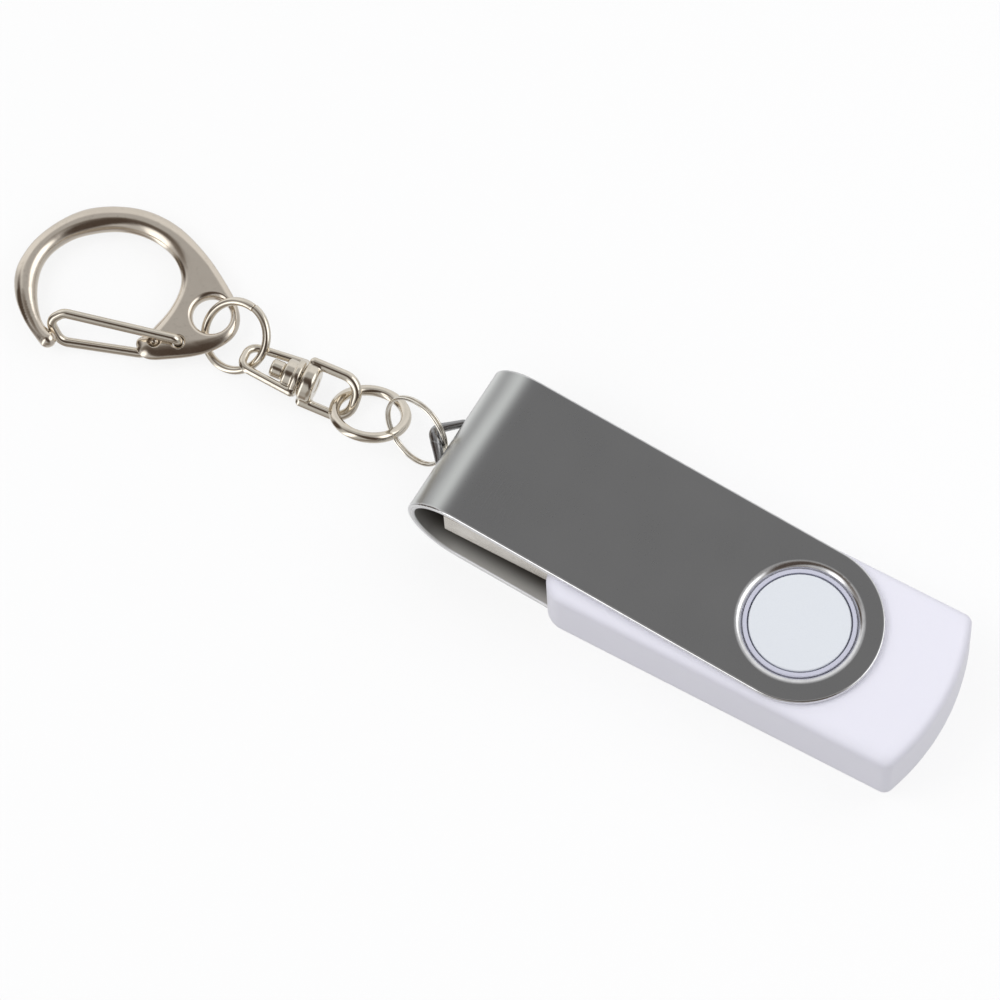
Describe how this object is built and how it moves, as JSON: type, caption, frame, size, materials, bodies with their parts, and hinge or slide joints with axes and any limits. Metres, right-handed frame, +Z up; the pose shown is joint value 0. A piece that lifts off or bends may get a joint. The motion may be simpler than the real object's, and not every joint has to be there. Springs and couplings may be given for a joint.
{
  "type": "usb flash drive",
  "caption": "Swivel USB flash drive: white plastic housing turning in a folded steel clip, with a ring chain, a swivel and a spring gate hook.",
  "frame": {"origin": "pivot axis of the clip, on the plane of the lower plate that the drive rests on", "axes": "-X is the direction the USB plug points, +Z is up through the pivot; the clip and keychain are turned 2.8 degrees from -X at rest"},
  "size_m": [0.11, 0.0204, 0.0115],
  "materials": {
    "white_plastic": "smooth, slightly cool white",
    "white_cap": "smooth white",
    "satin_steel": "satin, fine lengthwise grain",
    "nickel": "bright nickel plating",
    "cast_nickel": "nickel plating on a die casting",
    "connector_plastic": "moulded black",
    "gold": "thin gold plating",
    "board": "green solder mask on glass fibre",
    "chip_black": "moulded epoxy",
    "crystal_can": "nickel can",
    "ceramic_tan": "fired ceramic",
    "led_lens": "clear lens"
  },
  "bodies": {
    "housing": {"upper_shell": "white_plastic", "lower_shell": "white_plastic", "pivot_cap_top": "white_cap", "pivot_cap_bottom": "white_cap", "usb_shell": "nickel", "usb_tongue": "connector_plastic", "usb_contacts": "gold", "circuit_board": "board", "flash_memory": "chip_black", "controller_chip": "chip_black", "crystal": "crystal_can", "capacitors": "ceramic_tan", "resistors": "chip_black", "status_led": "led_lens"},
    "clip": {"swivel_clip": "satin_steel", "strap_loop": "satin_steel"},
    "split_ring": {"split_ring": "nickel"},
    "link_ring": {"link_ring": "nickel"},
    "swivel_yoke": {"swivel_yoke": "nickel", "swivel_rivet": "nickel"},
    "swivel_eye": {"swivel_eye": "nickel"},
    "jump_ring": {"jump_ring": "nickel"},
    "hook": {"hook_body": "cast_nickel"},
    "gate": {"hook_gate": "nickel"}
  },
  "joints": [
    {"name": "clip_swivel", "type": "hinge", "parent": "housing", "child": "clip", "pos_m": [0, 0, 0.00573], "axis": [0, 0, 1], "continuous": true},
    {"name": "split_ring_swing", "type": "hinge", "parent": "clip", "child": "split_ring", "pos_m": [-0.04433, 0.00217, 0.00573], "axis": [0.0489, 0.9988, 0], "range_deg": [0, 70]},
    {"name": "link_ring_swing", "type": "hinge", "parent": "split_ring", "child": "link_ring", "pos_m": [-0.05004, 0.00247, 0.00283], "axis": [-0.2729, 0.4233, 0.8639], "range_deg": [-45, 45]},
    {"name": "swivel_yoke_swing", "type": "hinge", "parent": "link_ring", "child": "swivel_yoke", "pos_m": [-0.05569, 0.0016, 0.00219], "axis": [-0.0371, 0.8791, -0.4752], "range_deg": [-10, 60]},
    {"name": "swivel_spin", "type": "hinge", "parent": "swivel_yoke", "child": "swivel_eye", "pos_m": [-0.06021, 0.00198, 0.00228], "axis": [0.9945, 0.0905, -0.0525], "continuous": true},
    {"name": "jump_ring_swing", "type": "hinge", "parent": "swivel_eye", "child": "jump_ring", "pos_m": [-0.06534, 0.00159, 0.00235], "axis": [0.3297, 0.7763, 0.5373], "range_deg": [-10, 50]},
    {"name": "hook_swing", "type": "hinge", "parent": "jump_ring", "child": "hook", "pos_m": [-0.07205, 0.00367, 0.0023], "axis": [0, 0, 1], "range_deg": [-40, 40]},
    {"name": "gate_opening", "type": "hinge", "parent": "hook", "child": "gate", "pos_m": [-0.07362, -0.0007, 0.0023], "axis": [0, 0, -1], "range_deg": [0, 30], "stiffness_Nm_per_rad": 0.002}
  ]
}
